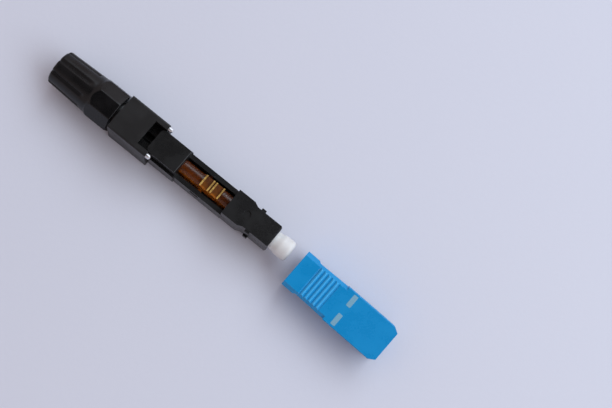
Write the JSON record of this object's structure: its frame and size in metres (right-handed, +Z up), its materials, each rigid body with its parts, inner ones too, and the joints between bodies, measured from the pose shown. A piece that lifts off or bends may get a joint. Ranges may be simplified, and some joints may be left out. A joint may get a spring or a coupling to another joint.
{
  "type": "sc fibre connector",
  "caption": "Field-assembly fibre connector with screw-down tail nut, sliding sleeve, splice bed and sprung ferrule under a dust cap, its outer housing drawn off and lying ahead of it.",
  "frame": {"origin": "on the fibre axis, in the rear face of the tail nut, at the cable mouth", "axes": "+X along the fibre axis from the cable end to the ferrule end, +Z up from the table, +Y across to complete a right-handed frame"},
  "size_m": [0.0921, 0.0126, 0.0098],
  "materials": {
    "black_plastic": "moulded, semi-gloss black",
    "blue_plastic": "moulded blue with two pale painted marks",
    "amber_plastic": "clear amber moulding",
    "white_plastic": "soft off-white moulding",
    "steel": "polished dowel steel",
    "spring_steel": "drawn spring wire",
    "ceramic": "ground white zirconia",
    "fibre": "bare glass fibre"
  },
  "bodies": {
    "connector_body": {"main_body": "black_plastic", "plug_frame": "black_plastic", "clamp_block": "black_plastic", "cable_jaw_upper": "black_plastic", "cable_jaw_lower": "black_plastic", "ferrule_spring": "spring_steel", "outer_housing": "blue_plastic"},
    "locking_sleeve": {"sliding_sleeve": "black_plastic", "press_pin_left": "steel", "press_pin_right": "steel"},
    "ferrule_unit": {"v_groove_base": "amber_plastic", "v_groove_lid": "amber_plastic", "ferrule_holder": "black_plastic", "ferrule": "ceramic", "fibre_stub": "fibre"},
    "dust_cap": {"dust_cap": "white_plastic"},
    "nut_ring": {"pressure_ring": "black_plastic"},
    "tail_nut": {"tail_nut": "black_plastic"}
  },
  "joints": [
    {"name": "sleeve_lock", "type": "slide", "parent": "connector_body", "child": "locking_sleeve", "axis": [1, 0, 0], "range_m": [0, 0.007]},
    {"name": "ferrule_float", "type": "slide", "parent": "connector_body", "child": "ferrule_unit", "axis": [-1, 0, 0], "range_m": [0, 0.001], "stiffness_N_per_m": 1000, "springref_m": -0.008, "deforming": ["ferrule_spring"]},
    {"name": "cap_pull", "type": "slide", "parent": "ferrule_unit", "child": "dust_cap", "axis": [1, 0, 0], "range_m": [0, 0.0023]},
    {"name": "nut_advance", "type": "slide", "parent": "connector_body", "child": "nut_ring", "axis": [-1, 0, 0], "range_m": [0, 0.003]},
    {"name": "nut_turn", "type": "hinge", "parent": "nut_ring", "child": "tail_nut", "pos_m": [0, 0, 0], "axis": [-1, 0, 0], "range_deg": [0, 1080]}
  ],
  "couplings": [
    {"joint": "nut_turn", "follows": "nut_advance", "rad_per_m": 6283.2}
  ]
}
